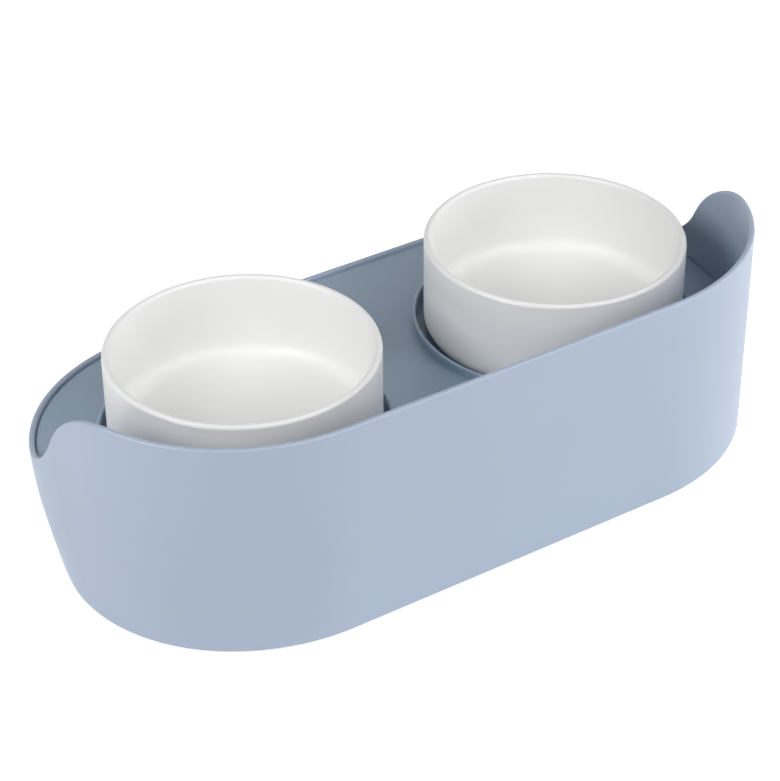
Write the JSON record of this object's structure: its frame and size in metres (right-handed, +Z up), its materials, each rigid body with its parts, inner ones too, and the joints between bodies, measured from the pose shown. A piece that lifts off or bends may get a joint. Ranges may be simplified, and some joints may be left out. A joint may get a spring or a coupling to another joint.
{
  "type": "double pet bowl",
  "caption": "Raised pet feeder: a moulded oblong stand with a tall splash guard along one side and a drop-in deck that seats lift-out round ceramic bowls side by side.",
  "frame": {"origin": "on the ground, under the middle of the whole object's box", "axes": "+X along the pair of bowls, +Y from the guard side to the low open side, +Z up"},
  "size_m": [0.3756, 0.1956, 0.1134],
  "materials": {
    "tub": "satin blue-grey moulded plastic",
    "tray": "satin blue-grey moulded plastic",
    "bowl": "satin white glaze",
    "seat_ring": "pale grey silicone",
    "foot": "dark grey rubber"
  },
  "bodies": {
    "stand": {"base_tub": "tub", "near_left_foot": "foot", "near_right_foot": "foot", "far_left_foot": "foot", "far_right_foot": "foot"},
    "tray": {"deck_tray": "tray"},
    "left_ring": {"left_seat_ring": "seat_ring"},
    "right_ring": {"right_seat_ring": "seat_ring"},
    "left_bowl": {"left_bowl": "bowl"},
    "right_bowl": {"right_bowl": "bowl"}
  },
  "joints": [
    {"name": "tray_lift", "type": "slide", "parent": "stand", "child": "tray", "axis": [0, 0, 1], "range_m": [0, 0.12]},
    {"name": "left_bowl_turn", "type": "hinge", "parent": "tray", "child": "left_ring", "pos_m": [-0.0895, -0.00227, 0.053], "axis": [0, 0, 1], "continuous": true},
    {"name": "left_bowl_lift", "type": "slide", "parent": "left_ring", "child": "left_bowl", "axis": [0, 0, 1], "range_m": [0, 0.1]},
    {"name": "right_bowl_turn", "type": "hinge", "parent": "tray", "child": "right_ring", "pos_m": [0.0895, -0.00227, 0.053], "axis": [0, 0, 1], "continuous": true},
    {"name": "right_bowl_lift", "type": "slide", "parent": "right_ring", "child": "right_bowl", "axis": [0, 0, 1], "range_m": [0, 0.1]}
  ]
}
